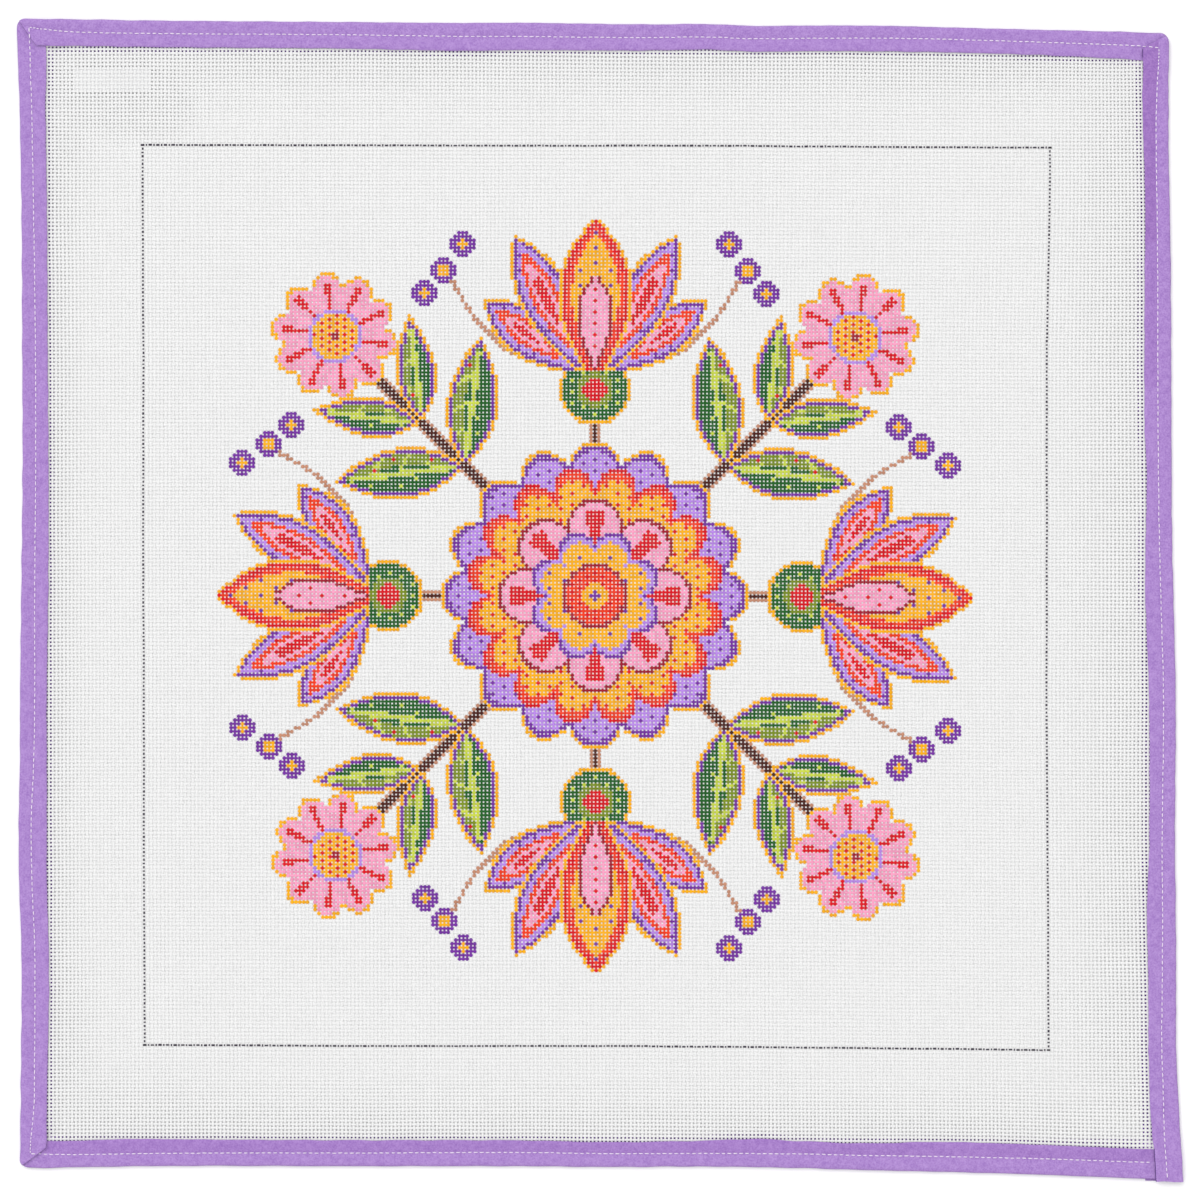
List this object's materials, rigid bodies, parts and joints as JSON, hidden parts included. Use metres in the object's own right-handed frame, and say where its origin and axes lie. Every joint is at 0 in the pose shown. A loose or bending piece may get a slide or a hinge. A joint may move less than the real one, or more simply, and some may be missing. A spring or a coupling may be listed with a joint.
{
  "type": "needlepoint canvas panel",
  "caption": "Square needlepoint canvas panel: open woven grid painted with a symmetrical flower medallion in a fine frame line, its edges bound with folded bias tape.",
  "frame": {"origin": "under the middle of the panel, on the surface that it lies on", "axes": "+X to the right of the painted face, +Y to its top edge, +Z out of the painted face"},
  "size_m": [0.6018, 0.6, 0.0041],
  "materials": {
    "canvas": "white open-weave cotton, stiffly sized, painted in the middle",
    "tape": "plain lilac cotton bias tape with a paler topstitch",
    "label": "blank white label, matt"
  },
  "bodies": {
    "root": {"canvas": "canvas", "binding": "tape", "label": "label"}
  },
  "joints": []
}
